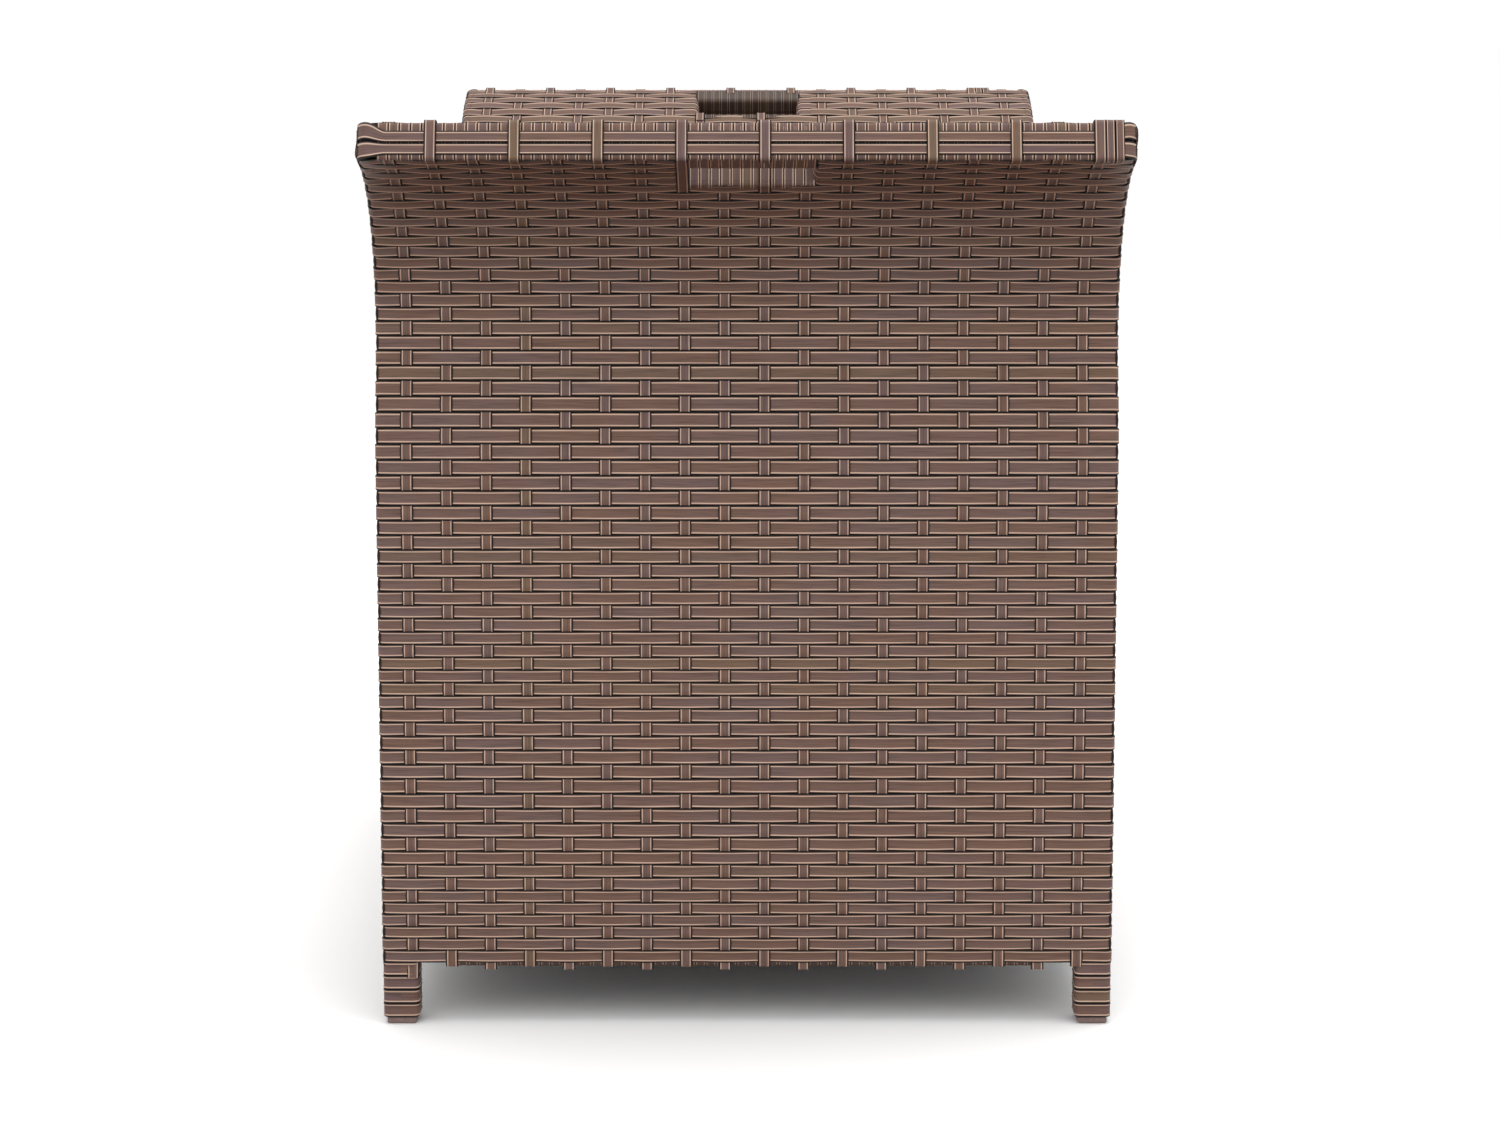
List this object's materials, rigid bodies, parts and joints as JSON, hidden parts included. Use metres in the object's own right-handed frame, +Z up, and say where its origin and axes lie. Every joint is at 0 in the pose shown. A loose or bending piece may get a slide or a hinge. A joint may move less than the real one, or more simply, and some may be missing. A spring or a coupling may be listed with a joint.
{
  "type": "wicker coffee table",
  "caption": "Woven coffee table on a square-tube frame, with tall flared ends that have hand slots, a flat deck under a loose glass plate, and wrapped legs.",
  "frame": {"origin": "on the floor, under the middle of the table", "axes": "+Z up, +Y along the table from the near flared end to the far one, +X across it to the right"},
  "size_m": [0.5, 0.8798, 0.62],
  "materials": {
    "wicker": "satin brown flat strand with paler edge lines",
    "wicker_wrap": "satin brown flat strand, closely wrapped",
    "frame_steel": "dark brown powder coat",
    "foot_plastic": "moulded brown plastic",
    "glass": "clear tempered plate with ground edges",
    "clear_rubber": "soft translucent pad",
    "zinc": "bright zinc plate"
  },
  "bodies": {
    "table": {"bracket_bolts": "zinc", "bracket_washers": "zinc", "corner_brackets": "frame_steel", "deck_bar_1": "frame_steel", "deck_bar_2": "frame_steel", "deck_bar_3": "frame_steel", "deck_weave": "wicker", "far_bottom_binding": "wicker_wrap", "far_bottom_rail": "frame_steel", "far_deck_rail": "frame_steel", "far_inner_weave": "wicker", "far_left_foot_plug": "foot_plastic", "far_left_leg_wrap": "wicker_wrap", "far_left_post": "frame_steel", "far_outer_weave": "wicker", "far_right_foot_plug": "foot_plastic", "far_right_leg_wrap": "wicker_wrap", "far_right_post": "frame_steel", "far_rim_binding": "wicker_wrap", "far_rim_rail": "frame_steel", "far_slot_binding": "wicker_wrap", "far_slot_loop": "frame_steel", "glass_bumpers": "clear_rubber", "left_bottom_binding": "wicker_wrap", "left_bottom_rail": "frame_steel", "left_mid_upright": "frame_steel", "left_skirt_weave": "wicker", "left_top_rail": "frame_steel", "near_bottom_binding": "wicker_wrap", "near_bottom_rail": "frame_steel", "near_deck_rail": "frame_steel", "near_inner_weave": "wicker", "near_left_foot_plug": "foot_plastic", "near_left_leg_wrap": "wicker_wrap", "near_left_post": "frame_steel", "near_outer_weave": "wicker", "near_right_foot_plug": "foot_plastic", "near_right_leg_wrap": "wicker_wrap", "near_right_post": "frame_steel", "near_rim_binding": "wicker_wrap", "near_rim_rail": "frame_steel", "near_slot_binding": "wicker_wrap", "near_slot_loop": "frame_steel", "right_bottom_binding": "wicker_wrap", "right_bottom_rail": "frame_steel", "right_mid_upright": "frame_steel", "right_skirt_weave": "wicker", "right_top_rail": "frame_steel", "rivet_nuts": "zinc"},
    "glass": {"glass_top": "glass"}
  },
  "joints": [
    {"name": "glass_lift", "type": "slide", "parent": "table", "child": "glass", "axis": [0, 0, 1], "range_m": [0, 0.25]}
  ]
}
